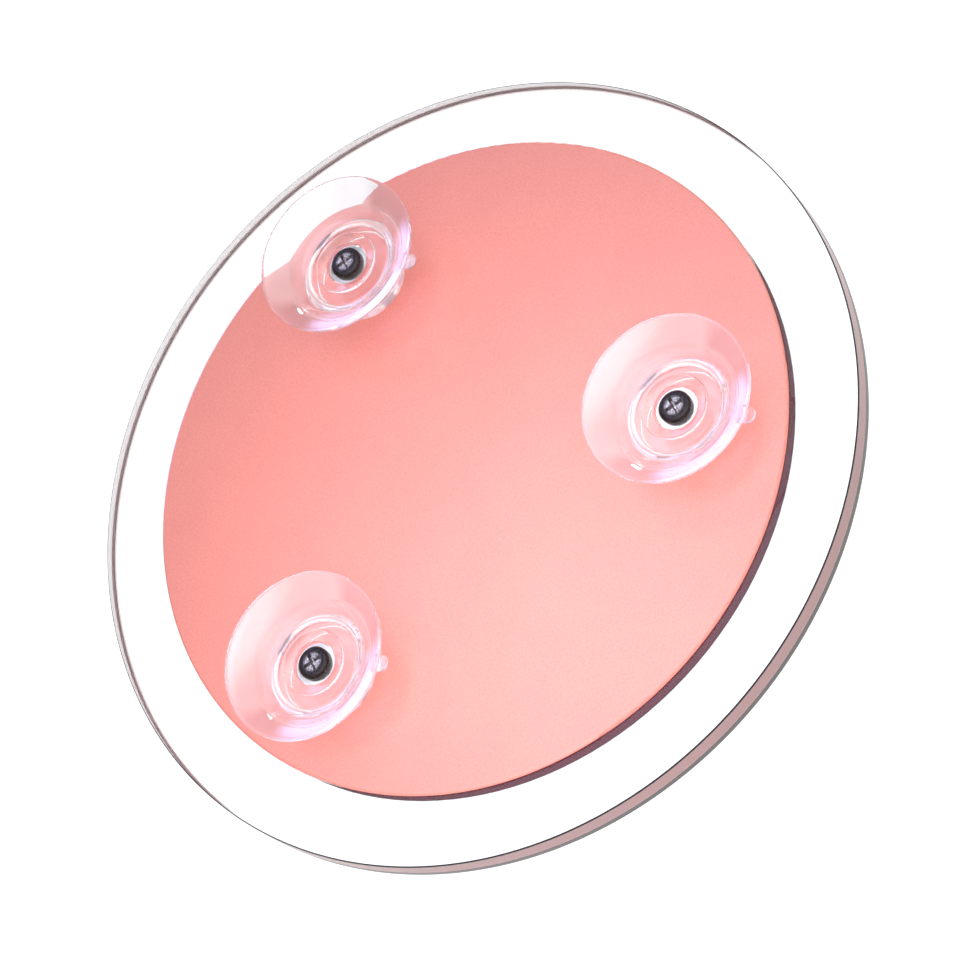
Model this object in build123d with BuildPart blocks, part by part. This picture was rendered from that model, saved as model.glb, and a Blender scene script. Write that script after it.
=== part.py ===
from build123d import *
from math import cos, radians, sin, sqrt
import os

# A round magnifying mirror that three suction cups hold on a smooth wall.
# It lies on its front face, so the cups open upwards. +Z is the back of the mirror, and +Y points
# to the top cup. The origin is the middle of the front face. All sizes are in millimetres.

# Clear plate: two bonded rings of transparent acrylic
plate_diameter = 203.2
clear_band_width = 16.8
front_ring_thickness = 2.0
lip_thickness = 0.8
lip_reach = 5.3
polished_edge = 0.4

# Dished glass mirror and the foam tape behind it
glass_thickness = 1.5
dish_depth = 3.4
glass_edge_gap = 0.85
glass_back_gap = 0.3
foam_band_width = 13.0
foam_edge_gap = 2.0
foam_seat_gap = 0.05

# Pink back cover, a shallow pan whose wall stands on the front ring's lip
cover_fit = 0.15
cover_wall = 1.8
cover_face_thickness = 1.6
cover_proud_height = 0.8
cover_edge_round = 0.6

# Threaded brass inserts, pressed into the cover's bosses
insert_diameter = 6.4
insert_length = 2.6
insert_groove_depth = 0.3
insert_groove_height = 0.8
boss_wall = 2.0

# Screws and washers that hold the cups
screw_diameter = 4.0
screw_end_gap = 0.6
screw_end_chamfer = 0.5
head_diameter = 8.2
head_height = 1.9
head_round = 1.0
recess_length = 4.6
recess_width = 1.0
recess_depth = 1.1
recess_taper = 18.0
washer_diameter = 10.6
washer_thickness = 0.8
washer_hole_clearance = 0.2
washer_edge_chamfer = 0.15

# Where the suction cups stand on the cover, seen from behind
cup_names = ["top", "left", "right"]
first_cup_angle = 90.0
cup_inset = 23.85

# Suction cup: the flared skirt, the hub under it and the pocket for the screw head
cup_height = 16.2
rim_diameter = 42.1
rim_band_height = 0.9
rim_lip_width = 0.75
skirt_outer_hollow = 0.8
skirt_inner_swell = 0.4
foot_diameter = 23.6
foot_edge_round = 0.5
neck_diameter = 22.6
shoulder_height = 6.6
shoulder_round = 1.2
well_diameter = 27.0
well_depth = 5.9
well_round = 1.0
collar_diameter = 16.4
collar_height = 0.8
collar_dip = 1.1
collar_round = 0.5
pocket_floor_height = 8.5
pocket_clearance = 0.25
swivel_clearance = 0.1

# Pull tab under the rim of each cup. Each cup turns on its screw, so its tab points its own way
tab_diameter = 4.0
tab_thickness = 0.8
tab_overhang = 0.6
tab_drop = 0.8
tab_angles = {"top": -45.0, "left": -41.0, "right": -49.5}

# One overrun serves every cut
overrun = 1.0

# Radii of the plate and of what lies inside it, from the edge inwards
plate_radius = plate_diameter / 2
bore_radius = plate_radius - clear_band_width
lip_radius = bore_radius - lip_reach
cover_radius = bore_radius - cover_fit
cover_inner_radius = cover_radius - cover_wall
glass_radius = cover_inner_radius - glass_edge_gap
foam_outer_radius = glass_radius - foam_edge_gap
foam_inner_radius = foam_outer_radius - foam_band_width
cup_circle_radius = cover_radius - cup_inset

# Heights, from the front face up
glass_back_edge = lip_thickness + glass_thickness
cover_inside = glass_back_edge + dish_depth + glass_back_gap
cover_top = cover_inside + cover_face_thickness
plate_thickness = cover_top - cover_proud_height

# The glass is a slice of a sphere
dish_sphere_radius = (glass_radius**2 + dish_depth**2) / (2 * dish_depth)

# Radii and heights of a cup and of its screw, from the foot of the cup up
rim_radius = rim_diameter / 2
foot_radius = foot_diameter / 2
neck_radius = neck_diameter / 2
well_radius = well_diameter / 2
well_height = cup_height - well_depth
collar_radius = collar_diameter / 2
collar_top = well_height + collar_height
washer_radius = washer_diameter / 2
pocket_radius = washer_radius + pocket_clearance
screw_radius = screw_diameter / 2
cup_bore_radius = screw_radius + swivel_clearance
tab_center_radius = rim_radius + tab_overhang
tab_bottom = cup_height - tab_drop - tab_thickness
insert_radius = insert_diameter / 2
boss_radius = insert_radius + boss_wall
head_seat = pocket_floor_height + washer_thickness
screw_length = head_seat + insert_length - screw_end_gap


def polar(radius, angle):
    """Point at a radius and at an angle in degrees."""
    return (radius * cos(radians(angle)), radius * sin(radians(angle)))


def cup_center(name):
    """Centre of a cup's foot on the back face of the cover."""
    angle = first_cup_angle + cup_names.index(name) * 360 / len(cup_names)
    return (*polar(cup_circle_radius, angle), cover_top)


def foot_plane(name):
    """Level plane under a cup's foot."""
    return Plane(origin=cup_center(name), x_dir=(1, 0, 0), z_dir=(0, 0, 1))


def profile_plane(name):
    """Upright plane through a cup's axis: X is the radius and Y the height above the foot."""
    return Plane(origin=cup_center(name), x_dir=(1, 0, 0), z_dir=(0, -1, 0))


def dish_height(radius):
    """Height of the dished glass above its own edge, at a radius."""
    return sqrt(dish_sphere_radius**2 - radius**2) - sqrt(dish_sphere_radius**2 - glass_radius**2)


def dish_arc(start_radius, end_radius, edge_height):
    """Arc of the dish between two radii, for a surface whose edge is at edge_height."""
    middle_radius = (start_radius + end_radius) / 2
    return ThreePointArc(
        (start_radius, edge_height + dish_height(start_radius)),
        (middle_radius, edge_height + dish_height(middle_radius)),
        (end_radius, edge_height + dish_height(end_radius)),
    )


def circle_near(piece, height, radius):
    """Circular edge of a piece that is nearest to a height and a radius."""
    circles = piece.edges().filter_by(GeomType.CIRCLE)
    return circles.sort_by(lambda edge: abs(edge.center().Z - height) + abs(edge.radius - radius))[0]


os.makedirs("parts", exist_ok=True)

# The rear ring is the thick layer of the clear plate, open in the middle for the back cover
with BuildPart() as rear_clear_ring:
    with BuildSketch(Plane.XY.offset(front_ring_thickness)):
        Circle(plate_radius)
        Circle(bore_radius, mode=Mode.SUBTRACT)
    extrude(amount=plate_thickness - front_ring_thickness)
    back_edges = rear_clear_ring.edges().filter_by(GeomType.CIRCLE).group_by(Axis.Z)[-1]
    chamfer(back_edges, length=polished_edge)
rear_clear_ring.part.label = "rear_clear_ring"
export_step(rear_clear_ring.part, "parts/rear_clear_ring.step")

# The front ring carries the mirror on a thin lip that reaches in under the edge of the glass
with BuildPart() as front_clear_ring:
    with BuildSketch():
        Circle(plate_radius)
        Circle(lip_radius, mode=Mode.SUBTRACT)
    extrude(amount=front_ring_thickness)
    with BuildSketch(Plane.XY.offset(lip_thickness)):
        Circle(bore_radius)
    extrude(amount=front_ring_thickness - lip_thickness + overrun, mode=Mode.SUBTRACT)
    chamfer(circle_near(front_clear_ring, 0, plate_radius), length=polished_edge)
front_clear_ring.part.label = "front_clear_ring"
export_step(front_clear_ring.part, "parts/front_clear_ring.step")

# The glass is dished towards the back, so that its front magnifies
with BuildPart() as magnifying_mirror:
    with BuildSketch(Plane.XZ):
        with BuildLine():
            front = dish_arc(0, glass_radius, lip_thickness)
            back = dish_arc(glass_radius, 0, glass_back_edge)
            Line(front @ 1, back @ 0)
            Line(back @ 1, front @ 0)
        make_face()
    revolve(axis=Axis.Z)
magnifying_mirror.part.label = "magnifying_mirror"
export_step(magnifying_mirror.part, "parts/magnifying_mirror.step")

# The foam tape fills the space between the back of the glass and the inside of the cover
with BuildPart() as mirror_foam_ring:
    with BuildSketch(Plane.XZ):
        with BuildLine():
            seat = dish_arc(foam_inner_radius, foam_outer_radius, glass_back_edge + foam_seat_gap)
            Polyline(
                seat @ 1,
                (foam_outer_radius, cover_inside),
                (foam_inner_radius, cover_inside),
                seat @ 0,
            )
        make_face()
    revolve(axis=Axis.Z)
mirror_foam_ring.part.label = "mirror_foam_ring"
export_step(mirror_foam_ring.part, "parts/mirror_foam_ring.step")

# The back cover is a pan with a boss and a hole for an insert under each cup
with BuildPart() as back_cover:
    with BuildSketch(Plane.XY.offset(lip_thickness)):
        Circle(cover_radius)
    extrude(amount=cover_top - lip_thickness)
    with BuildSketch(Plane.XY.offset(lip_thickness)):
        Circle(cover_inner_radius)
    extrude(amount=cover_inside - lip_thickness, mode=Mode.SUBTRACT)
    with BuildSketch(Plane.XY.offset(cover_top - insert_length)):
        with PolarLocations(cup_circle_radius, len(cup_names), start_angle=first_cup_angle):
            Circle(boss_radius)
    extrude(amount=insert_length)
    with Locations(Plane.XY.offset(cover_top)):
        with PolarLocations(cup_circle_radius, len(cup_names), start_angle=first_cup_angle):
            Hole(insert_radius)
    fillet(circle_near(back_cover, cover_top, cover_radius), radius=cover_edge_round)
back_cover.part.label = "back_cover"
export_step(back_cover.part, "parts/back_cover.step")


# Brass sleeve with one groove round its middle, flush with the back face of the cover
def make_threaded_insert(name):
    with BuildPart() as insert:
        with BuildSketch(foot_plane(name)):
            Circle(insert_radius)
        extrude(amount=-insert_length)
        groove_top = (insert_length - insert_groove_height) / 2
        with BuildSketch(foot_plane(name).offset(-groove_top)):
            Circle(insert_radius)
            Circle(insert_radius - insert_groove_depth, mode=Mode.SUBTRACT)
        extrude(amount=-insert_groove_height, mode=Mode.SUBTRACT)
        with Locations(foot_plane(name)):
            Hole(screw_radius)
    insert.part.label = "threaded_insert_" + name
    export_step(insert.part, "parts/" + insert.part.label + ".step")


# Flat washer on the floor of the cup's pocket
def make_cup_washer(name):
    with BuildPart() as washer:
        with BuildSketch(foot_plane(name).offset(pocket_floor_height)):
            Circle(washer_radius)
            Circle(screw_radius + washer_hole_clearance, mode=Mode.SUBTRACT)
        extrude(amount=washer_thickness)
        chamfer(circle_near(washer, cover_top + head_seat, washer_radius), length=washer_edge_chamfer)
    washer.part.label = "cup_washer_" + name
    export_step(washer.part, "parts/" + washer.part.label + ".step")


# Pan head screw with a cross recess, down through the washer and the cup into the insert
def make_cup_screw(name):
    with BuildPart() as screw:
        with BuildSketch(foot_plane(name).offset(head_seat)):
            Circle(head_diameter / 2)
        extrude(amount=head_height)
        fillet(screw.edges().filter_by(GeomType.CIRCLE).group_by(Axis.Z)[-1], radius=head_round)
        with BuildSketch(foot_plane(name).offset(head_seat)):
            Circle(screw_radius)
        extrude(amount=-screw_length)
        chamfer(screw.edges().filter_by(GeomType.CIRCLE).group_by(Axis.Z)[0], length=screw_end_chamfer)
        with BuildSketch(foot_plane(name).offset(head_seat + head_height)):
            Rectangle(recess_length, recess_width)
            Rectangle(recess_width, recess_length)
        extrude(amount=-recess_depth, taper=recess_taper, mode=Mode.SUBTRACT)
    screw.part.label = "cup_screw_" + name
    export_step(screw.part, "parts/" + screw.part.label + ".step")


# Soft cup: a solid hub on the cover, a thin skirt that flares upwards like a bell and a pull tab under its rim
def make_suction_cup(name):
    with BuildPart() as cup:
        with BuildSketch(profile_plane(name)):
            with BuildLine():
                hub = Polyline((cup_bore_radius, 0), (foot_radius, 0), (neck_radius, shoulder_height))
                band_bottom = (rim_radius, cup_height - rim_band_height)
                skirt_outside = SagittaArc(hub @ 1, band_bottom, skirt_outer_hollow)
                lip_inside = (rim_radius - rim_lip_width, cup_height)
                Polyline(skirt_outside @ 1, (rim_radius, cup_height), lip_inside)
                skirt_inside = SagittaArc(lip_inside, (well_radius, well_height), -skirt_inner_swell)
                Polyline(
                    skirt_inside @ 1,
                    (collar_radius, well_height),
                    (collar_radius, collar_top),
                    (pocket_radius, collar_top - collar_dip),
                    (pocket_radius, pocket_floor_height),
                    (cup_bore_radius, pocket_floor_height),
                    (cup_bore_radius, 0),
                )
            make_face()
        revolve(axis=Axis(cup_center(name), (0, 0, 1)))
        fillet(circle_near(cup, cover_top, foot_radius), radius=foot_edge_round)
        fillet(circle_near(cup, cover_top + shoulder_height, neck_radius), radius=shoulder_round)
        fillet(circle_near(cup, cover_top + well_height, well_radius), radius=well_round)
        fillet(circle_near(cup, cover_top + collar_top, collar_radius), radius=collar_round)
        with BuildSketch(foot_plane(name).offset(tab_bottom)):
            with Locations(polar(tab_center_radius, tab_angles[name])):
                Circle(tab_diameter / 2)
        extrude(amount=tab_thickness)
    cup.part.label = "suction_cup_" + name
    export_step(cup.part, "parts/" + cup.part.label + ".step")


for cup_name in cup_names:
    make_threaded_insert(cup_name)
    make_cup_washer(cup_name)
    make_cup_screw(cup_name)
    make_suction_cup(cup_name)

print("plate thickness", round(plate_thickness, 2), "cover top", round(cover_top, 2))
print("rim plane", round(cover_top + cup_height, 2), "focal length", round(dish_sphere_radius / 2, 1))
print("screw length", round(screw_length, 2), "cup circle radius", round(cup_circle_radius, 2))
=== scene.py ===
"""Looks of a round magnifying mirror with three suction cups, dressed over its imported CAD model.

The file is laid out as an add-on and run as a script. Lengths are metres, and +Z is the back of the
mirror, which lies face down with its cups up. Sizes are written in millimetres and turned by mm().
"""

from math import asin, cos, pi, radians, sin, tau

import bpy
import numpy as np
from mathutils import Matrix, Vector


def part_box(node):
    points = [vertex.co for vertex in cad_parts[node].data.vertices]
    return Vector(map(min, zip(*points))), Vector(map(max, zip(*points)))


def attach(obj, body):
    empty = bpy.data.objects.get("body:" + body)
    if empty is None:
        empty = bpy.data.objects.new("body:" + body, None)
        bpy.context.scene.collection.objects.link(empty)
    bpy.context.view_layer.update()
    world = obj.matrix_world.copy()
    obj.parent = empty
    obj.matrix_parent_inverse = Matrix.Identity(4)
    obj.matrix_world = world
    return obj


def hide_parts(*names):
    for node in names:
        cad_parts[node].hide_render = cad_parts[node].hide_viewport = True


bl_info = {
    "name": "Suction Cup Mirror",
    "version": (1, 0, 0),
    "blender": (4, 5, 0),
    "location": "3D View > Sidebar > Mirror",
    "description": "Clear plate, pink cover, soft cups and screws of a round suction mirror, with a studio",
    "category": "Object",
}

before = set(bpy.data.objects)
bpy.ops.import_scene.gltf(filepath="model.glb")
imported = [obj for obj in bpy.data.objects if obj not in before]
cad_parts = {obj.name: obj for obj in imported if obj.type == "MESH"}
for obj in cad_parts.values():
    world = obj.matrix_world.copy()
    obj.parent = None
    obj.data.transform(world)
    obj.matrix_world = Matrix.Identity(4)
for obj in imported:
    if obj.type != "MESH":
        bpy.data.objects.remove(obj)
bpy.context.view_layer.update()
SIDES = ("top", "left", "right")

# Points round the plate, the foam tape and a cup, and across a cup's pull tab
PLATE_POINTS, FOAM_POINTS, CUP_POINTS, TAB_POINTS = 512, 256, 256, 33


def mm(value):
    """Millimetres as metres."""
    return value / 1000


def linear(code):
    """Linear red, green and blue of an sRGB hex colour such as #F2A8A0."""
    channels = np.array([int(code[i : i + 2], 16) for i in (1, 3, 5)]) / 255
    return tuple(np.where(channels <= 0.04045, channels / 12.92, ((channels + 0.055) / 1.055) ** 2.4))


def length(name, description, millimetres):
    """A length that the user can change, given in millimetres."""
    return bpy.props.FloatProperty(
        name=name, description=description, default=mm(millimetres), min=0.0, subtype="DISTANCE", precision=5
    )


def amount(name, description, value, **limits):
    """A share, a slope or a strength that the user can change."""
    return bpy.props.FloatProperty(name=name, description=description, default=value, min=0.0, **limits)


def location(name, description, metres):
    """A place that the user can change, given in metres."""
    return bpy.props.FloatVectorProperty(
        name=name, description=description, default=metres, subtype="TRANSLATION"
    )


def turns(name, description, degrees):
    """Three angles that the user can change, given in degrees."""
    return bpy.props.FloatVectorProperty(
        name=name, description=description, default=[radians(v) for v in degrees], subtype="EULER"
    )


def tint(name, description, code):
    """A colour that the user can change, given as sRGB hex."""
    return bpy.props.FloatVectorProperty(
        name=name, description=description, default=linear(code), min=0.0, max=1.0, subtype="COLOR", size=3
    )


# Sizes and colours


class ClearPlateSettings(bpy.types.PropertyGroup):
    """Two rings of acrylic, one on the other, round the cover."""

    outer_radius: length("Outer radius", "From the axis to the polished edge", 101.57)
    bore_radius: length("Bore radius", "Where the rings meet the cover's wall, with the glue", 84.4)
    lip_radius: length("Lip radius", "Inner radius of the lip in front of the glass", 79.5)
    lip_height: length("Lip height", "Thickness of the lip", 0.78)
    seam_height: length("Seam height", "Where the front ring ends and the rear ring starts", 2.0)
    seam_gap: length("Seam gap", "Film of air between the rings", 0.03)
    edge_round: length("Edge round", "Rounding of the polished edges", 0.4)
    bore_round: length("Bore round", "Rounding of the rear ring's inner edge", 0.35)
    acrylic: tint("Acrylic", "What light keeps when it passes a face", "#FCFDFD")
    # Painted reflection: the pink that the cover shows in the polished edge, painted into the edge's colour
    painted_pink_edge: tint("Edge tint", "What the edge gathers from the pink cover", "#E6BDB6")
    # Painted shade: the front ring's edge is painted dark and opaque, for the dark that clear edges refract
    painted_dark_edge_band: tint("Sawn band", "Matt edge of the front ring", "#4A4946")
    # Painted shade: a dark line painted along the rear ring's back edge, standing for a dark refraction line
    painted_dark_edge_line: tint("Dark line", "Line left by the saw at the rear ring's back edge", "#0E0D0D")
    edge_depth: length("Edge depth", "How deep the finish of the edge reaches in from the outside", 0.3)
    edge_haze: amount("Edge haze", "Share of the edge's light that its fine scratches scatter", 0.3, max=1.0)


class CoverSettings(bpy.types.PropertyGroup):
    """The pink pan behind the mirror."""

    pink: tint("Pink", "Colour of the moulded plastic", "#B86658")
    pale: tint("Pale grain", "Colour on the tops of the grain", "#C77665")
    # Painted shade: the cover's side wall is drawn darker than its face
    painted_wall_shade: tint("Glued wall", "Colour of the side wall, dark where glue wets it", "#64202C")
    grain: length("Grain", "Width of one pit of the spark eroded texture", 0.55)


class FoamSettings(bpy.types.PropertyGroup):
    """Foam tape between the glass and the cover."""

    inner_radius: length("Inner radius", "Inner edge of the tape", 67.0)
    outer_radius: length("Outer radius", "Outer edge of the tape", 80.0)
    inner_seat: length("Inner seat", "Height of the glass under the inner edge", 3.5)
    outer_seat: length("Outer seat", "Height of the glass under the outer edge", 2.53)
    top_height: length("Top", "Height of the inside of the cover", 5.98)
    side_hollow: length("Side hollow", "How far the squeezed sides draw in at their middle", 0.35)
    foam: tint("Foam", "Colour of the polyethylene foam", "#E9E7E2")


class SuctionCupSettings(bpy.types.PropertyGroup):
    """One soft cup. Heights are from its foot and radii from its axis."""

    foot_gap: length("Foot gap", "Film of air under the foot", 0.02)
    bore_radius: length("Bore radius", "Hole for the screw", 2.1)
    foot_radius: length("Foot radius", "Hub where it stands on the cover", 11.1)
    neck_radius: length("Neck radius", "Hub where the skirt starts", 10.8)
    neck_height: length("Neck height", "Height of the start of the skirt", 7.6)
    neck_round: length("Neck round", "Rounding between the hub and the outside of the skirt", 2.5)
    outer_bow: length("Outer bow", "How far the outside of the skirt falls short of a straight line", 1.1)
    rim_radius: length("Rim radius", "Widest part of the cup", 21.05)
    band_height: length("Band height", "Height where the upright band of the rim starts", 15.3)
    rim_height: length("Rim height", "Top of the cup", 16.18)
    lip_radius: length("Lip radius", "Inner edge of the flat lip", 20.3)
    inner_bow: length("Inner bow", "How far the inside of the skirt swells above a straight line", 0.8)
    well_radius: length("Well radius", "Flat round the collar", 13.5)
    well_height: length("Well height", "Height of that flat", 10.3)
    well_round: length("Well round", "Rounding between that flat and the inside of the skirt", 3.0)
    collar_radius: length("Collar radius", "Outside of the raised collar", 8.2)
    collar_height: length("Collar height", "Top of the collar", 11.1)
    collar_dip: length("Collar dip", "How far the collar's top falls towards the pocket", 1.1)
    pocket_radius: length("Pocket radius", "Pocket for the washer", 5.55)
    pocket_height: length("Pocket floor", "Height of the floor of the pocket", 8.46)
    tab_place: length("Tab place", "From the cup's axis to the middle of the pull tab", 21.65)
    tab_radius: length("Tab radius", "Radius of the pull tab", 2.0)
    tab_height: length("Tab height", "Middle of the tab's thickness", 15.0)
    tab_thickness: length("Tab thickness", "Thickness of the pull tab", 0.8)
    tab_round: length("Tab round", "Rounding of the tab's edges", 0.2)
    tab_rise: amount("Tab rise", "Slope at which the tab carries on the flare of the skirt", 0.25)
    tab_angles: turns("Tab angles", "Directions of the top, left and right cup's tab", (-45, -41, -49.5))
    vinyl: tint("Vinyl", "What light keeps when it passes a face of the clear PVC", "#FFF8FA")
    clearness: amount("Clearness", "Share of the light that the milky PVC lets through", 0.95, max=1.0)
    film_start: length("Film start", "Height over the table where the oily film on the skirt starts", 18.6)
    film_full: length("Film full", "Height over the table where the film is at its thickest", 20.4)


class MetalSettings(bpy.types.PropertyGroup):
    """Screws, washers, inserts and the silvered glass."""

    steel: tint("Steel", "Black oxide on steel, seen face on", "#3A3537")
    # Wear and painted highlight: the lighter steel also stands for the glints in the cross recess
    wear_and_glint: tint("Worn steel", "Bare steel where the driver has rubbed the oxide off", "#C9C2C4")
    wear_and_glint_radius: length("Worn radius", "From the screw's axis to where the wear starts to fade", 1.6)
    wear_and_glint_end: length("Unworn radius", "From the screw's axis to where no wear is left", 2.7)
    nickel: tint("Nickel", "Bright nickel on the washers", "#E9E7E2")
    brass: tint("Brass", "Colour of the brass inserts", "#D8B468")
    silver: tint("Silver", "Silver layer seen through the glass", "#EDF0EF")
    backing: tint("Backing paint", "Grey paint that protects the silver", "#8C9092")
    ground_edge: tint("Ground edge", "Matt edge of the cut glass", "#B9CFC6")


class StudioSettings(bpy.types.PropertyGroup):
    """Camera, floor and lights."""

    camera_place: location("Camera place", "Where the camera stands", (0.14805, -0.43029, 0.63411))
    camera_turn: turns("Camera turn", "Turn of the camera about X, Y and Z", (23.787, 26.780, -26.414))
    camera_lens: bpy.props.FloatProperty(
        name="Lens", description="Focal length in millimetres on a 36 mm sensor", default=118.0, min=1.0
    )
    floor: tint("Floor", "What the table throws back of the light that falls on it", "#5A5A5A")
    floor_light: tint("Floor light", "Colour of the light that the table gives off", "#FFFFFF")
    floor_glow: amount("Floor glow", "Strength of the light that the table gives off", 1.05)
    room: tint("Room", "Colour of the far walls", "#FFFFFF")
    room_strength: amount("Room strength", "Radiance of the far walls", 0.15)
    near_strength: amount("Near side", "Radiance that the camera's side of the room adds", 0.7)
    overhead_strength: amount("Overhead light", "Radiance that the soft light over the camera adds", 1.15)
    ceiling: tint("Ceiling light", "Colour of the soft light high behind the mirror", "#E6E6FF")
    ceiling_strength: amount("Ceiling light strength", "Radiance of that light", 2.4)
    window: tint("Window", "Colour of the daylight behind the mirror", "#B4BEFF")
    window_strength: amount("Window strength", "Radiance of the daylight behind the mirror", 3.2)
    key: tint("Key light", "Colour of the small gridded softbox over the near half", "#E8E8FF")
    key_power: amount("Key power", "Watts of that softbox", 0.17)
    key_size: length("Key size", "Side of that softbox", 80)
    key_spread: amount("Key spread", "Angle of light that its grid lets out", radians(36), subtype="ANGLE")
    key_place: location("Key place", "Where that softbox hangs", (0, -0.19, 0.4))
    key_target: location("Key target", "What that softbox points at", (0, -0.045, 0))
    glint: tint("Glint light", "Colour of the softbox behind the mirror that glints in the cups", "#FFFFFF")
    glint_power: amount("Glint power", "Watts of that softbox", 1.2)
    glint_size: length("Glint size", "Side of that softbox", 180)
    glint_place: location("Glint place", "Where that softbox stands", (0.62, 1.34, 0.14))


# Shapes


def closed_profile(corners, leg_points=8, round_points=7):
    """Points of a closed profile with rounded corners, as an array of (radius, height).

    Each corner is (radius, height, round, bow), anticlockwise. The leg from A to B is
    A + (B - A) t + 4 b t (1 - t) n, a parabola whose middle stands b out along the right hand normal n. Its
    points crowd at its ends, t = (1 - cos) / 2, so that a flat face stays flat up to its rounds.
    A round cuts both legs back by its size, to P and Q, and joins them by the parabola
    (1 - s)^2 P + 2 s (1 - s) C + s^2 Q that aims at the corner C.
    """
    table = np.array(corners, float)
    start, cut, bow = table[:, None, :2], table[:, None, 2:3], table[:, None, 3:4]
    run = np.roll(start, -1, 0) - start
    size = np.linalg.norm(run, axis=2, keepdims=True)
    normal = np.stack((run[..., 1], -run[..., 0]), -1) / size

    def leg(t):
        return start + run * t + 4 * bow * t * (1 - t) * normal

    first, last = cut / size, 1 - np.roll(cut, -1, 0) / size
    crowd = ((1 - np.cos(np.linspace(0, pi, leg_points + 2)[1:-1])) / 2)[None, :, None]
    straight = leg(first + (last - first) * crowd)
    s = np.linspace(0, 1, round_points)[None, :, None]
    come, go = np.roll(leg(last), 1, 0), leg(first)
    rounds = (1 - s) ** 2 * come + 2 * s * (1 - s) * start + s**2 * go
    return np.concatenate((rounds, straight), 1).reshape(-1, 2)


def even_turn(count):
    """Angles spread evenly over a full turn."""
    return np.linspace(0, tau, count, endpoint=False)


def turned(radius, height, angles, centre):
    """Points (r cos a + x, r sin a + y, h + z) of a profile carried once round an upright axis at centre.

    Radius and height are arrays of one row per angle, or of one row for all of them.
    """
    radius, height = np.atleast_2d(radius), np.atleast_2d(height)
    turn = angles[:, None]
    points = np.stack(np.broadcast_arrays(radius * np.cos(turn), radius * np.sin(turn), height), -1)
    return points + np.array(centre)


def ring_mesh(name, points):
    """Mesh of a grid of points that closes on itself both ways, with its faces outwards."""
    rows, columns = points.shape[:2]
    here = np.arange(rows * columns).reshape(rows, columns)
    beside, above = np.roll(here, -1, 0), np.roll(here, -1, 1)
    quads = np.stack((here, beside, np.roll(beside, -1, 1), above), -1).reshape(-1, 4)
    mesh = bpy.data.meshes.new(name)
    mesh.vertices.add(rows * columns)
    mesh.vertices.foreach_set("co", points.reshape(-1).astype(np.float32))
    mesh.loops.add(quads.size)
    mesh.loops.foreach_set("vertex_index", quads.reshape(-1))
    mesh.polygons.add(len(quads))
    mesh.polygons.foreach_set("loop_start", np.arange(0, quads.size, 4))
    mesh.update(calc_edges=True)
    mesh.shade_smooth()
    return mesh


def add_piece(name, points, material, slot, body, *nodes):
    """A finished piece of the object that stands for CAD nodes and moves with a body."""
    mesh = ring_mesh(name, points)
    mesh.materials.append(material)
    piece = bpy.data.objects.new(name, mesh)
    bpy.context.scene.collection.objects.link(piece)
    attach(piece, body)
    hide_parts(*nodes)
    return piece


def cup_axis(side):
    """Place of a cup's upright axis, the middle of its screw."""
    low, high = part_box("cup_screw_" + side)
    return (low.x + high.x) / 2, (low.y + high.y) / 2


def rear_ring_profile(plate, top):
    """Square section of the thick ring, its outer edges polished round."""
    low = plate.seam_height + plate.seam_gap
    return closed_profile(
        [
            (plate.bore_radius, low, mm(0.05), 0),
            (plate.outer_radius, low, mm(0.12), 0),
            (plate.outer_radius, top, plate.edge_round, 0),
            (plate.bore_radius, top, plate.bore_round, 0),
        ]
    )


def front_ring_profile(plate):
    """Section of the thin ring, with the lip that holds the glass."""
    return closed_profile(
        [
            (plate.lip_radius, 0, mm(0.2), 0),
            (plate.outer_radius, 0, plate.edge_round, 0),
            (plate.outer_radius, plate.seam_height, mm(0.12), 0),
            (plate.bore_radius, plate.seam_height, mm(0.05), 0),
            (plate.bore_radius, plate.lip_height, mm(0.05), 0),
            (plate.lip_radius, plate.lip_height, mm(0.2), 0),
        ]
    )


def foam_profile(foam):
    """Section of the foam tape, with hollow sides and an underside that follows the dished glass."""
    return closed_profile(
        [
            (foam.inner_radius, foam.inner_seat, mm(0.3), 0),
            (foam.outer_radius, foam.outer_seat, mm(0.3), -foam.side_hollow),
            (foam.outer_radius, foam.top_height, mm(0.3), 0),
            (foam.inner_radius, foam.top_height, mm(0.3), -foam.side_hollow),
        ]
    )


def cup_profile(cup):
    """Section of a suction cup from the bore out over the hub, skirt, rim, well and pocket."""
    return closed_profile(
        [
            (cup.bore_radius, 0, mm(0.1), 0),
            (cup.foot_radius, 0, mm(0.5), 0),
            (cup.neck_radius, cup.neck_height, cup.neck_round, -cup.outer_bow),
            (cup.rim_radius, cup.band_height, mm(0.12), 0),
            (cup.rim_radius, cup.rim_height, mm(0.15), 0),
            (cup.lip_radius, cup.rim_height, mm(0.2), cup.inner_bow),
            (cup.well_radius, cup.well_height, cup.well_round, 0),
            (cup.collar_radius, cup.well_height, mm(0.3), 0),
            (cup.collar_radius, cup.collar_height, mm(0.5), 0),
            (cup.pocket_radius, cup.collar_height - cup.collar_dip, mm(0.3), 0),
            (cup.pocket_radius, cup.pocket_height, mm(0.35), 0),
            (cup.bore_radius, cup.pocket_height, mm(0.1), 0),
        ],
        leg_points=14,
    )


def with_levels(profile, heights):
    """The profile with a point put in, by linear interpolation, where its rising side passes each height."""
    low, high = profile, np.roll(profile, -1, 0)
    place = ((low[:, 1] < heights[:, None]) & (high[:, 1] >= heights[:, None])).argmax(1)
    share = (heights - low[place, 1]) / (high[place, 1] - low[place, 1])
    return np.insert(profile, place + 1, low[place] + (high - low)[place] * share[:, None], axis=0)


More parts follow.
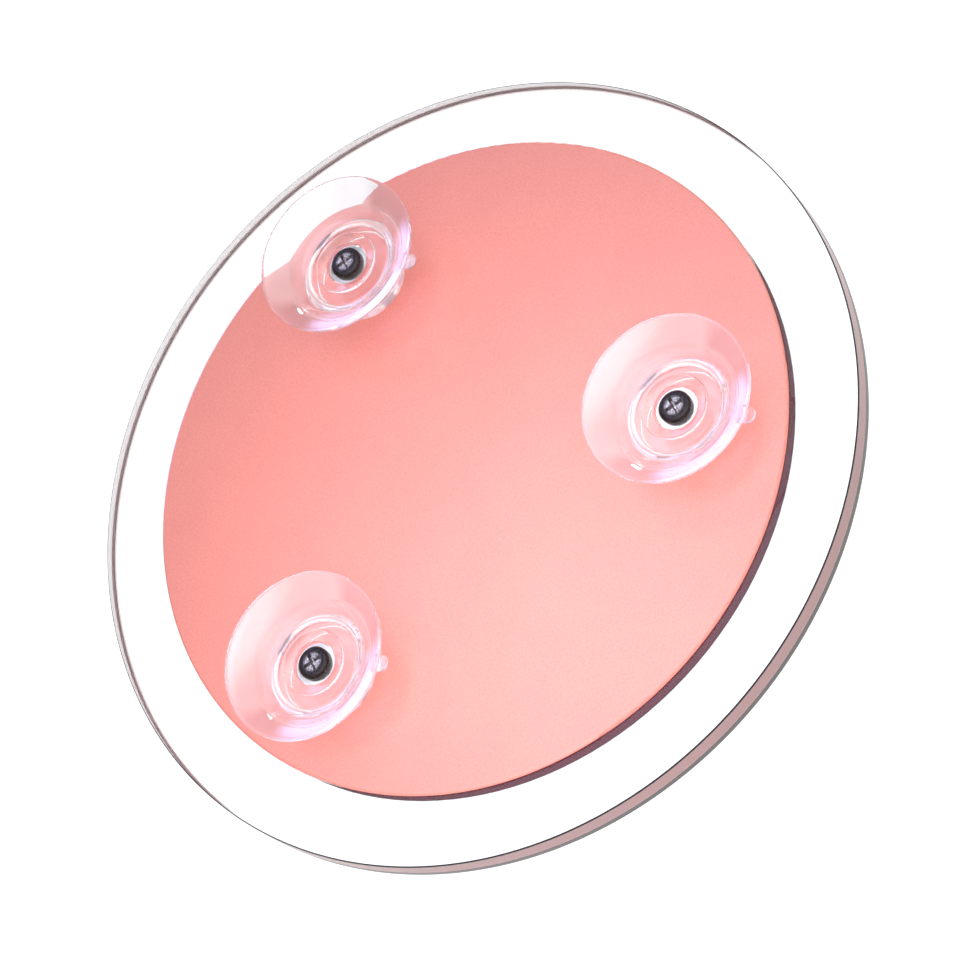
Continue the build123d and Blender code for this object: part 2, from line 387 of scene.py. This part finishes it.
def cup_surface(cup, centre, tab_angle):
    """Grid of a suction cup whose section grows into a round pull tab at one angle.

    A tab of radius q, whose middle is p from the axis, reaches p cos d + sqrt(q^2 - (p sin d)^2) at an angle
    d from its own direction. Its edge is rounded by e: at a height k past the flat part of the edge, that
    reach is shorter by e - sqrt(e^2 - k^2). The cup's outside is the skirt or that reach, whichever is
    greater. Past the rim the tab rises by its slope times the distance from the rim.
    """
    half, e = cup.tab_thickness / 2, cup.tab_round
    # Levels from the underside to the top of the tab, and one just past each
    levels = half * np.sin(np.linspace(-pi / 2, pi / 2, 13))
    levels = cup.tab_height + np.concatenate(([-half - mm(0.02)], levels, [half + mm(0.02)]))
    profile = with_levels(cup_profile(cup), levels)
    radius, height = profile.T

    width = asin(cup.tab_radius / cup.tab_place)
    near = width * np.sin(np.linspace(-pi / 2, pi / 2, TAB_POINTS))
    aside = width + 0.001
    offset = np.concatenate((near, np.linspace(aside, tau - aside, CUP_POINTS)))
    across = np.clip(cup.tab_radius**2 - (cup.tab_place * np.sin(offset)) ** 2, 0, None)
    reach = np.where(np.arange(offset.size) < near.size, cup.tab_place * np.cos(offset) + np.sqrt(across), 0)

    away = np.abs(height - cup.tab_height)
    past = np.clip(away - (half - e), 0, e)
    on_edge = (np.roll(height, -1) > np.roll(height, 1)) & (away < half + mm(0.001))
    shorter = np.where(on_edge, e - np.sqrt(e**2 - past**2), np.inf)
    radius = np.maximum(radius, reach[:, None] - shorter)
    height = height + np.clip(radius - cup.rim_radius, 0, None) * cup.tab_rise
    return turned(radius, height, offset + tab_angle, centre)


# Materials


def add_node(tree, kind, inputs=None, **settings):
    """Adds a node. Settings are its own, and inputs are numbers, colours or the outputs that feed it."""
    node = tree.nodes.new("ShaderNode" + kind)
    for name, value in settings.items():
        setattr(node, name, value)
    for name, value in (inputs or {}).items():
        if isinstance(value, bpy.types.NodeSocket):
            tree.links.new(value, node.inputs[name])
        else:
            node.inputs[name].default_value = value
    return node


def new_material(name):
    """An empty material, its node tree, and the place and the facing of a point in the object's own axes."""
    material = bpy.data.materials.new(name)
    material.use_nodes = True
    tree = material.node_tree
    tree.nodes.clear()
    own = add_node(tree, "TexCoord").outputs
    return material, tree, own["Object"], own["Normal"]


def add_surface(tree, inputs):
    """The surface shader with its inputs, joined to the material's output."""
    shader = add_node(tree, "BsdfPrincipled", inputs).outputs["BSDF"]
    add_node(tree, "OutputMaterial", {"Surface": shader})


def cast_acrylic(name, plate, painted_dark_tint, band_low, band_high):
    """Cast acrylic sheet, cut to a ring and polished. It is clear as glass, with faint hairline haze.

    The edge is less polished than the faces, and its pink is a painted reflection of the cover. Between
    two heights it is painted dark and opaque: painted shade that stands for the dark the edge refracts.
    """
    material, tree, place, _ = new_material(name)
    haze = add_node(tree, "TexNoise", {"Vector": place, "Scale": 1 / mm(9), "Detail": 4.0}).outputs["Fac"]
    inputs = {"Value": haze, "From Min": 0.3, "From Max": 0.7, "To Max": 0.02}
    haze = add_node(tree, "MapRange", inputs).outputs["Result"]
    spot = add_node(tree, "SeparateXYZ", {"Vector": place}).outputs
    level = add_node(tree, "CombineXYZ", {"X": spot["X"], "Y": spot["Y"]}).outputs["Vector"]
    radius = add_node(tree, "VectorMath", {0: level}, operation="LENGTH").outputs["Value"]
    inputs = {0: radius, 1: plate.outer_radius - plate.edge_depth}
    edge = add_node(tree, "Math", inputs, operation="GREATER_THAN").outputs["Value"]
    # Painted shade: between two heights the outer edge is painted dark and opaque
    inputs = {0: spot["Z"], 1: (band_low + band_high) / 2, 2: (band_high - band_low) / 2}
    height = add_node(tree, "Math", inputs, operation="COMPARE").outputs["Value"]
    band = add_node(tree, "Math", {0: edge, 1: height}, operation="MULTIPLY").outputs["Value"]
    # Painted reflection: the outer edge takes the cover's pink as its own colour
    inputs = {"Factor": edge, "A": (*plate.acrylic, 1), "B": (*plate.painted_pink_edge, 1)}
    painted_pink_edge_colour = add_node(tree, "Mix", inputs, data_type="RGBA").outputs["Result"]
    inputs = {"Factor": band, "A": painted_pink_edge_colour, "B": (*painted_dark_tint, 1)}
    colour = add_node(tree, "Mix", inputs, data_type="RGBA").outputs["Result"]
    hazed = add_node(tree, "Math", {0: edge, 1: plate.edge_haze}, operation="MULTIPLY").outputs["Value"]
    solid = add_node(tree, "Math", {0: hazed, 1: band}, operation="MAXIMUM").outputs["Value"]
    clear = add_node(tree, "Math", {0: 1.0, 1: solid}, operation="SUBTRACT").outputs["Value"]
    rough = add_node(tree, "Mix", {"Factor": edge, "A": haze, "B": 0.3}).outputs["Result"]
    add_surface(tree, {"Base Color": colour, "Transmission Weight": clear, "Roughness": rough, "IOR": 1.49})
    return material


def clear_vinyl(cup):
    """Soft PVC from a polished mould. Flow lines bend what is seen through it.

    Its plasticiser makes it a little milky, with a faint pink cast, and comes out as an oily film on the
    skirt, which catches the light. The film lies where the normal's upward part is under 0.94, and the
    level faces, where it is over 0.96, have none.
    """
    material, tree, place, facing = new_material("clear_soft_vinyl")
    flow = add_node(tree, "TexNoise", {"Vector": place, "Scale": 1 / mm(7), "Detail": 1.0}).outputs["Fac"]
    wavy = add_node(tree, "Bump", {"Height": flow, "Distance": mm(0.05), "Strength": 1.0}).outputs["Normal"]
    bloom = add_node(tree, "TexNoise", {"Vector": place, "Scale": 1 / mm(2), "Detail": 3.0}).outputs["Fac"]
    inputs = {"Value": bloom, "From Min": 0.3, "From Max": 0.7, "To Min": 0.01, "To Max": 0.05}
    rough = add_node(tree, "MapRange", inputs).outputs["Result"]
    up = add_node(tree, "SeparateXYZ", {"Vector": facing}).outputs["Z"]
    inputs = {"Value": up, "From Min": 0.94, "From Max": 0.96, "To Min": 1.0, "To Max": 0.0}
    sloping = add_node(tree, "MapRange", inputs).outputs["Result"]
    height = add_node(tree, "SeparateXYZ", {"Vector": place}).outputs["Z"]
    inputs = {"Value": height, "From Min": cup.film_start, "From Max": cup.film_full}
    skirt = add_node(tree, "MapRange", inputs).outputs["Result"]
    oily = add_node(tree, "Math", {0: skirt, 1: sloping}, operation="MULTIPLY").outputs["Value"]
    inputs = {"Base Color": (*cup.vinyl, 1), "Transmission Weight": cup.clearness, "IOR": 1.53}
    film = {"Coat Weight": oily, "Coat IOR": 1.9, "Coat Roughness": 0.05}
    add_surface(tree, {**inputs, **film, "Roughness": rough, "Normal": wavy})
    return material


def grained_abs(cover):
    """Moulded ABS from a spark eroded mould. Its fine grain breaks up the gloss and sparkles a little.

    The grain is drawn twice as coarse as the real one, so that it shows in the picture. The side wall is
    matt, and drawn darker than the face: painted shade.
    """
    material, tree, place, facing = new_material("grained_pink_abs")
    inputs = {"Vector": place, "Scale": 1 / cover.grain, "Detail": 3.0, "Roughness": 0.6}
    grain = add_node(tree, "TexNoise", inputs).outputs["Fac"]
    cloud = add_node(tree, "TexNoise", {"Vector": place, "Scale": 1 / mm(14), "Detail": 3.0}).outputs["Fac"]
    both = add_node(tree, "Math", {0: cloud, 1: 0.25, 2: grain}, operation="MULTIPLY_ADD").outputs["Value"]
    share = add_node(tree, "MapRange", {"Value": both, "From Min": 0.35, "From Max": 0.9}).outputs["Result"]
    inputs = {"Factor": share, "A": (*cover.pink, 1), "B": (*cover.pale, 1)}
    colour = add_node(tree, "Mix", inputs, data_type="RGBA").outputs["Result"]
    up = add_node(tree, "SeparateXYZ", {"Vector": facing}).outputs["Z"]
    face = add_node(tree, "MapRange", {"Value": up, "From Min": 0.1, "From Max": 0.4}).outputs["Result"]
    # Painted shade: where the normal is near level, the side wall takes the darker colour
    inputs = {"Factor": face, "A": (*cover.painted_wall_shade, 1), "B": colour}
    colour = add_node(tree, "Mix", inputs, data_type="RGBA").outputs["Result"]
    inputs = {"Value": grain, "From Min": 0.3, "From Max": 0.7, "To Min": 0.28, "To Max": 0.42}
    sheen = add_node(tree, "MapRange", inputs).outputs["Result"]
    rough = add_node(tree, "Mix", {"Factor": face, "A": 1.0, "B": sheen}).outputs["Result"]
    pits = add_node(tree, "Bump", {"Height": grain, "Distance": mm(0.03), "Strength": 1.0}).outputs["Normal"]
    gloss = {"Coat Weight": face, "Coat IOR": 1.6, "Coat Roughness": 0.22, "Coat Normal": pits}
    add_surface(tree, {**gloss, "Base Color": colour, "Roughness": rough, "Normal": pits})
    return material


def closed_cell_foam(foam):
    """White polyethylene foam tape: matt, with closed cells of about half a millimetre."""
    material, tree, place, _ = new_material("closed_cell_foam")
    inputs = {"Vector": place, "Scale": 1 / mm(0.6)}
    cells = add_node(tree, "TexVoronoi", inputs).outputs["Distance"]
    inputs = {"Value": cells, "From Min": 0.2, "From Max": 0.8, "To Min": 0.8, "To Max": 0.95}
    rough = add_node(tree, "MapRange", inputs).outputs["Result"]
    inputs = {"Height": cells, "Distance": mm(0.12), "Strength": 1.0}
    hollows = add_node(tree, "Bump", inputs).outputs["Normal"]
    inputs = {"Base Color": (*foam.foam, 1), "Sheen Weight": 0.15}
    add_surface(tree, {**inputs, "Roughness": rough, "Normal": hollows})
    return material


def black_oxide_steel(metal, side, centre):
    """Steel screws with a black oxide finish: dark, and lighter round the cross recess.

    The lighter middle is partly oxide rubbed off by the driver and partly a painted highlight that stands
    for the glints in the recess. It fades out with the distance from the screw's axis, broken up in streaks
    about 0.6 mm wide.
    """
    material, tree, place, _ = new_material("black_oxide_steel_" + side)
    inputs = {"Vector": place, "Location": (-centre[0], -centre[1], 0)}
    own = add_node(tree, "Mapping", inputs).outputs["Vector"]
    spot = add_node(tree, "SeparateXYZ", {"Vector": own}).outputs
    level = add_node(tree, "CombineXYZ", {"X": spot["X"], "Y": spot["Y"]}).outputs["Vector"]
    radius = add_node(tree, "VectorMath", {0: level}, operation="LENGTH").outputs["Value"]
    # The lighter middle is worn steel and a painted highlight for the recess's glints
    fade = {"From Min": metal.wear_and_glint_radius, "From Max": metal.wear_and_glint_end, "To Min": 1.0, "To Max": 0.0}
    inputs = {"Value": radius, **fade}
    middle = add_node(tree, "MapRange", inputs, interpolation_type="SMOOTHSTEP").outputs["Result"]
    inputs = {"Vector": own, "Scale": 1 / mm(0.6), "Detail": 3.0, "Distortion": 1.5}
    streaks = add_node(tree, "TexNoise", inputs).outputs["Fac"]
    inputs = {"Value": streaks, "From Min": 0.4, "From Max": 0.6, "To Min": 0.45, "To Max": 1.0}
    rubbed = add_node(tree, "MapRange", inputs).outputs["Result"]
    share = add_node(tree, "Math", {0: middle, 1: rubbed}, operation="MULTIPLY").outputs["Value"]
    inputs = {"Factor": share, "A": (*metal.steel, 1), "B": (*metal.wear_and_glint, 1)}
    colour = add_node(tree, "Mix", inputs, data_type="RGBA").outputs["Result"]
    inputs = {"Value": streaks, "From Min": 0.3, "From Max": 0.7, "To Min": 0.14, "To Max": 0.3}
    rough = add_node(tree, "MapRange", inputs).outputs["Result"]
    inputs = {"Height": streaks, "Distance": mm(0.12), "Strength": 1.0}
    uneven = add_node(tree, "Bump", inputs).outputs["Normal"]
    add_surface(tree, {"Base Color": colour, "Metallic": 1.0, "Roughness": rough, "Normal": uneven})
    return material


def bright_nickel(metal, side, centre):
    """Stamped steel washers plated with nickel: warm grey, with the press's rings about 0.4 mm apart."""
    material, tree, place, _ = new_material("bright_nickel_plate_" + side)
    inputs = {"Vector": place, "Location": (-centre[0], -centre[1], 0)}
    own = add_node(tree, "Mapping", inputs).outputs["Vector"]
    inputs = {"Vector": own, "Scale": 1 / mm(0.4) / 20, "Distortion": 0.6, "Detail Scale": 1.5}
    rings = add_node(tree, "TexWave", inputs, wave_type="RINGS", rings_direction="Z").outputs["Fac"]
    inputs = {"Height": rings, "Distance": mm(0.03), "Strength": 1.0}
    grooves = add_node(tree, "Bump", inputs).outputs["Normal"]
    blur = add_node(tree, "TexNoise", {"Vector": place, "Scale": 1 / mm(1), "Detail": 3.0}).outputs["Fac"]
    inputs = {"Value": blur, "From Min": 0.3, "From Max": 0.7, "To Min": 0.1, "To Max": 0.22}
    rough = add_node(tree, "MapRange", inputs).outputs["Result"]
    inputs = {"Base Color": (*metal.nickel, 1), "Metallic": 1.0}
    add_surface(tree, {**inputs, "Roughness": rough, "Normal": grooves})
    return material


def turned_brass(metal):
    """Brass inserts, turned on a lathe. The tool leaves fine rings up the sleeve, about 0.15 mm apart."""
    material, tree, place, _ = new_material("turned_brass")
    inputs = {"Vector": place, "Scale": 1 / mm(0.15) / 20, "Distortion": 0.3}
    rings = add_node(tree, "TexWave", inputs, bands_direction="Z").outputs["Fac"]
    inputs = {"Height": rings, "Distance": mm(0.01), "Strength": 1.0}
    grooves = add_node(tree, "Bump", inputs).outputs["Normal"]
    wear = add_node(tree, "TexNoise", {"Vector": place, "Scale": 1 / mm(1), "Detail": 3.0}).outputs["Fac"]
    inputs = {"Value": wear, "From Min": 0.3, "From Max": 0.7, "To Min": 0.18, "To Max": 0.32}
    rough = add_node(tree, "MapRange", inputs).outputs["Result"]
    inputs = {"Base Color": (*metal.brass, 1), "Metallic": 1.0}
    add_surface(tree, {**inputs, "Roughness": rough, "Normal": grooves})
    return material


def silvered_glass(metal):
    """Float glass, bent and silvered: a mirror in front, a matt ground edge, and grey paint behind."""
    material, tree, place, facing = new_material("silvered_glass")
    up = add_node(tree, "SeparateXYZ", {"Vector": facing}).outputs["Z"]
    inputs = {"Value": up, "From Min": -0.6, "From Max": -0.5, "To Min": 1.0, "To Max": 0.0}
    mirror = add_node(tree, "MapRange", inputs).outputs["Result"]
    painted = add_node(tree, "MapRange", {"Value": up, "From Min": 0.5, "From Max": 0.6}).outputs["Result"]
    inputs = {"Factor": painted, "A": (*metal.ground_edge, 1), "B": (*metal.backing, 1)}
    behind = add_node(tree, "Mix", inputs, data_type="RGBA").outputs["Result"]
    inputs = {"Factor": mirror, "A": behind, "B": (*metal.silver, 1)}
    colour = add_node(tree, "Mix", inputs, data_type="RGBA").outputs["Result"]
    haze = add_node(tree, "TexNoise", {"Vector": place, "Scale": 1 / mm(3), "Detail": 3.0}).outputs["Fac"]
    inputs = {"Value": haze, "From Min": 0.3, "From Max": 0.7, "To Min": 0.35, "To Max": 0.5}
    matt = add_node(tree, "MapRange", inputs).outputs["Result"]
    rough = add_node(tree, "Mix", {"Factor": mirror, "A": matt, "B": 0.015}).outputs["Result"]
    add_surface(tree, {"Base Color": colour, "Metallic": mirror, "Roughness": rough})
    return material


def lit_table(studio):
    """Opal acrylic of a lit product table: it glows evenly, so that things on it cast hardly any shadow."""
    material, tree, place, _ = new_material("lit_table")
    mottle = add_node(tree, "TexNoise", {"Vector": place, "Scale": 1 / mm(60), "Detail": 2.0}).outputs["Fac"]
    inputs = {"Value": mottle, "From Min": 0.3, "From Max": 0.7, "To Min": 0.55, "To Max": 0.65}
    rough = add_node(tree, "MapRange", inputs).outputs["Result"]
    inputs = {"Base Color": (*studio.floor, 1), "Roughness": rough}
    glow = {"Emission Color": (*studio.floor_light, 1), "Emission Strength": studio.floor_glow}
    add_surface(tree, {**inputs, **glow})
    return material


def dress(node, material):
    """Gives a CAD node its finish, in every material slot."""
    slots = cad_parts[node].data.materials
    for index in range(len(slots)):
        slots[index] = material


# Studio


def add_camera(studio):
    """Camera at the viewing angle of the product photograph."""
    data = bpy.data.cameras.new("product_camera")
    data.lens, data.sensor_width = studio.camera_lens, 36
    data.clip_start, data.clip_end = 0.01, 100
    camera = bpy.data.objects.new("product_camera", data)
    camera.location, camera.rotation_euler = studio.camera_place, studio.camera_turn
    bpy.context.scene.collection.objects.link(camera)
    bpy.context.scene.camera = camera


def add_table(studio):
    """A pale lit table, a hair under the mirror so that the faces don't touch."""
    half, drop = 6, mm(0.2)
    mesh = bpy.data.meshes.new("table")
    corners = [(x * half, y * half, -drop) for x, y in ((-1, -1), (1, -1), (1, 1), (-1, 1))]
    mesh.from_pydata(corners, [], [(0, 1, 2, 3)])
    mesh.materials.append(lit_table(studio))
    table = bpy.data.objects.new("table", mesh)
    bpy.context.scene.collection.objects.link(table)


def aim(azimuth, elevation):
    """Unit vector towards an azimuth and an elevation in degrees."""
    a, e = radians(azimuth), radians(elevation)
    return (cos(a) * cos(e), sin(a) * cos(e), sin(e))


def add_room_light(studio):
    """White room as one soft light: bright on the camera's side, with two ceiling lights and a window behind.

    Each of the four has a middle, and fades out smoothly between two angles from it, in degrees.
    """
    world = bpy.data.worlds.new("white_room")
    world.use_nodes = True
    tree = world.node_tree
    tree.nodes.clear()
    towards = add_node(tree, "TexCoord").outputs["Generated"]
    light = tuple(studio.room_strength * v for v in studio.room)
    for middle, full, none, strength, colour in (
        (aim(-68, 0), 112, 126, studio.near_strength, (1, 1, 1)),
        (aim(-50, 68), 10, 50, studio.overhead_strength, (1, 1, 1)),
        (aim(99, 72), 8, 26, studio.ceiling_strength, studio.ceiling),
        (aim(105, 8), 18, 30, studio.window_strength, studio.window),
    ):
        near = add_node(tree, "VectorMath", {0: towards, 1: middle}, operation="DOT_PRODUCT").outputs["Value"]
        inputs = {"Value": near, "From Min": cos(radians(none)), "From Max": cos(radians(full))}
        share = add_node(tree, "MapRange", inputs, interpolation_type="SMOOTHSTEP").outputs["Result"]
        inputs = {0: share, 1: tuple(strength * v for v in colour), 2: light}
        light = add_node(tree, "VectorMath", inputs, operation="MULTIPLY_ADD").outputs["Vector"]
    shine = add_node(tree, "Background", {"Color": light}).outputs["Background"]
    add_node(tree, "OutputWorld", {"Surface": shine})
    bpy.context.scene.world = world


def add_softbox(name, place, target, size, watts, colour):
    """A square softbox at a place, turned to a target."""
    data = bpy.data.lights.new(name, "AREA")
    data.size, data.energy, data.color = size, watts, colour
    box = bpy.data.objects.new(name, data)
    box.location = place
    box.rotation_euler = (Vector(place) - Vector(target)).to_track_quat("Z", "Y").to_euler()
    bpy.context.scene.collection.objects.link(box)
    return box


def add_key_light(studio):
    """A small softbox with a grid over the near half, so that the pink fades towards the far side.

    It lights but isn't mirrored. The clear pieces let its light through, so only the opaque ones shade it.
    """
    place, target = studio.key_place, studio.key_target
    key = add_softbox("key_light", place, target, studio.key_size, studio.key_power, studio.key)
    key.data.spread = studio.key_spread
    key.visible_camera = key.visible_glossy = key.visible_transmission = False
    opaque = bpy.data.collections.new("pieces_that_shade")
    for node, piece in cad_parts.items():
        if not node.startswith("suction_cup_") and not node.endswith("_clear_ring"):
            opaque.objects.link(piece)
    key.light_linking.blocker_collection = opaque


# Operators


class MIRROR_OT_make_clear_plate(bpy.types.Operator):
    """Make the two acrylic rings round the cover"""

    bl_idname = "mirror.make_clear_plate"
    bl_label = "Clear Plate"

    def execute(self, context):
        plate = context.scene.mirror_plate
        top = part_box("rear_clear_ring")[1].z
        # Painted shade on the rear ring's back edge, over its round
        rear = cast_acrylic("rear_ring_acrylic", plate, plate.painted_dark_edge_line, top - plate.edge_round, top)
        # Painted shade on the front ring's edge, from its round up to the seam
        low, seam = plate.edge_round, plate.seam_height
        front = cast_acrylic("front_ring_acrylic", plate, plate.painted_dark_edge_band, low, seam)
        for name, profile, acrylic in (
            ("rear_clear_ring", rear_ring_profile(plate, top), rear),
            ("front_clear_ring", front_ring_profile(plate), front),
        ):
            points = turned(*profile.T, even_turn(PLATE_POINTS), (0, 0, 0))
            add_piece("polished_" + name, points, acrylic, "clear_acrylic", "mirror_plate", name)
        return {"FINISHED"}


class MIRROR_OT_make_foam_ring(bpy.types.Operator):
    """Make the foam tape between the glass and the cover"""

    bl_idname = "mirror.make_foam_ring"
    bl_label = "Foam Tape"

    def execute(self, context):
        foam = context.scene.mirror_foam
        points = turned(*foam_profile(foam).T, even_turn(FOAM_POINTS), (0, 0, 0))
        finish = closed_cell_foam(foam)
        tape = add_piece("soft_foam_ring", points, finish, "foam_tape", "mirror_plate", "mirror_foam_ring")
        return {"FINISHED"}


class MIRROR_OT_make_suction_cups(bpy.types.Operator):
    """Make the three soft suction cups"""

    bl_idname = "mirror.make_suction_cups"
    bl_label = "Suction Cups"

    def execute(self, context):
        cup = context.scene.mirror_cup
        vinyl = clear_vinyl(cup)
        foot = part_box("back_cover")[1].z + cup.foot_gap
        for side, tab_angle in zip(SIDES, cup.tab_angles):
            points = cup_surface(cup, (*cup_axis(side), foot), tab_angle)
            node = "suction_cup_" + side
            add_piece("soft_" + node, points, vinyl, "clear_pvc", "cup_" + side, node)
        return {"FINISHED"}


class MIRROR_OT_finish_cover(bpy.types.Operator):
    """Give the back cover its grained pink plastic"""

    bl_idname = "mirror.finish_cover"
    bl_label = "Back Cover"

    def execute(self, context):
        dress("back_cover", grained_abs(context.scene.mirror_cover))
        return {"FINISHED"}


class MIRROR_OT_finish_glass(bpy.types.Operator):
    """Give the dished glass its silver, its ground edge and its backing paint"""

    bl_idname = "mirror.finish_glass"
    bl_label = "Mirror Glass"

    def execute(self, context):
        dress("magnifying_mirror", silvered_glass(context.scene.mirror_metal))
        return {"FINISHED"}


class MIRROR_OT_finish_fasteners(bpy.types.Operator):
    """Give the screws, washers and inserts their metals"""

    bl_idname = "mirror.finish_fasteners"
    bl_label = "Screws and Inserts"

    def execute(self, context):
        metal = context.scene.mirror_metal
        brass = turned_brass(metal)
        for side in SIDES:
            dress("cup_screw_" + side, black_oxide_steel(metal, side, cup_axis(side)))
            dress("cup_washer_" + side, bright_nickel(metal, side, cup_axis(side)))
            dress("threaded_insert_" + side, brass)
        return {"FINISHED"}


class MIRROR_OT_make_studio(bpy.types.Operator):
    """Make the camera, the pale table and the lights"""

    bl_idname = "mirror.make_studio"
    bl_label = "Studio"

    def execute(self, context):
        studio = context.scene.mirror_studio
        add_camera(studio)
        add_table(studio)
        add_room_light(studio)
        add_key_light(studio)
        place, size = studio.glint_place, studio.glint_size
        add_softbox("window_glint", place, (0, 0, 0), size, studio.glint_power, studio.glint)
        context.scene.view_settings.view_transform = "Standard"
        # Light meets dozens of clear faces inside a cup, and short or blurred paths leave it dark
        paths = context.scene.cycles
        paths.max_bounces = paths.transmission_bounces = paths.glossy_bounces = 32
        paths.blur_glossy = 0.0
        return {"FINISHED"}


# Panel and start


class MIRROR_PT_sidebar(bpy.types.Panel):
    """The pieces of the mirror, each with its sizes and colours"""

    bl_idname = "MIRROR_PT_sidebar"
    bl_label = "Suction Cup Mirror"
    bl_space_type = "VIEW_3D"
    bl_region_type = "UI"
    bl_category = "Mirror"

    def draw(self, context):
        for operator, settings in STEPS:
            box = self.layout.box()
            box.operator(operator.bl_idname)
            group = getattr(context.scene, settings)
            for name in group.bl_rna.properties.keys():
                if name not in ("rna_type", "name"):
                    box.prop(group, name)


SETTINGS = {
    "mirror_plate": ClearPlateSettings,
    "mirror_cover": CoverSettings,
    "mirror_foam": FoamSettings,
    "mirror_cup": SuctionCupSettings,
    "mirror_metal": MetalSettings,
    "mirror_studio": StudioSettings,
}
STEPS = (
    (MIRROR_OT_make_clear_plate, "mirror_plate"),
    (MIRROR_OT_make_foam_ring, "mirror_foam"),
    (MIRROR_OT_make_suction_cups, "mirror_cup"),
    (MIRROR_OT_finish_cover, "mirror_cover"),
    (MIRROR_OT_finish_glass, "mirror_metal"),
    (MIRROR_OT_finish_fasteners, "mirror_metal"),
    (MIRROR_OT_make_studio, "mirror_studio"),
)
CLASSES = (*SETTINGS.values(), *(operator for operator, _ in STEPS), MIRROR_PT_sidebar)


def register():
    for cls in CLASSES:
        bpy.utils.register_class(cls)
    for name, group in SETTINGS.items():
        setattr(bpy.types.Scene, name, bpy.props.PointerProperty(type=group))


def unregister():
    for name in SETTINGS:
        delattr(bpy.types.Scene, name)
    for cls in reversed(CLASSES):
        bpy.utils.unregister_class(cls)


def main():
    """Makes every piece in order."""
    register()
    for operator, _ in STEPS:
        getattr(bpy.ops.mirror, operator.bl_idname.split(".")[1])()


if __name__ == "__main__":
    main()
